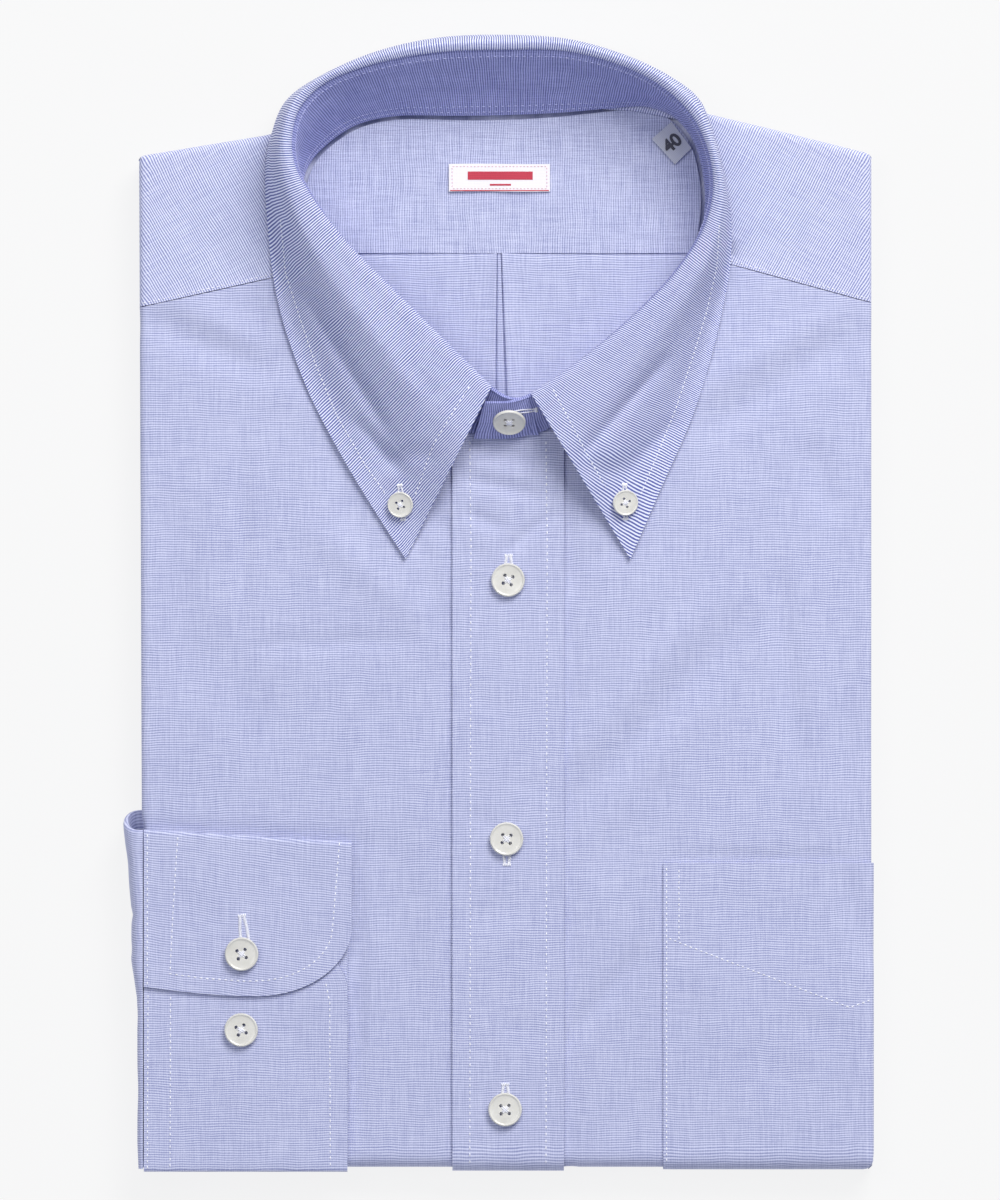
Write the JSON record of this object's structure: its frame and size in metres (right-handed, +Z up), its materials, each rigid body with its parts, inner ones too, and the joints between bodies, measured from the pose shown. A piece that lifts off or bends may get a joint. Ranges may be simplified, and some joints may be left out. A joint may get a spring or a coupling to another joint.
{
  "type": "folded long sleeve dress shirt",
  "caption": "Folded long sleeve dress shirt lying face up, with a raised button-down collar, placket, chest pocket and one barrel cuff folded over the front.",
  "frame": {"origin": "on the surface that the shirt lies on, under the middle of its bounding box", "axes": "+Z up out of the shirt's face, +Y from hem fold to collar, +X towards the wearer's left side"},
  "size_m": [0.256, 0.387, 0.0416],
  "materials": {
    "shirt_cloth": "light periwinkle blue end-on-end cotton, matt with a faint sheen",
    "button": "ivory white polyester, softly polished",
    "thread": "white sewing thread",
    "label": "white woven satin"
  },
  "bodies": {
    "root": {"folded_core": "shirt_cloth", "front_left": "shirt_cloth", "front_right": "shirt_cloth", "placket": "shirt_cloth", "yoke_outer": "shirt_cloth", "yoke_inner": "shirt_cloth", "back_panel": "shirt_cloth", "collar_stand": "shirt_cloth", "collar_leaf": "shirt_cloth", "pocket": "shirt_cloth", "cuff": "shirt_cloth", "sleeve": "shirt_cloth", "button_placket_top": "button", "button_placket_middle": "button", "button_placket_low": "button", "button_cuff_over": "button", "button_cuff_under": "button", "button_collar_left": "button", "button_collar_right": "button", "button_stand": "button", "neck_label": "label", "size_tab": "label"}
  },
  "joints": []
}
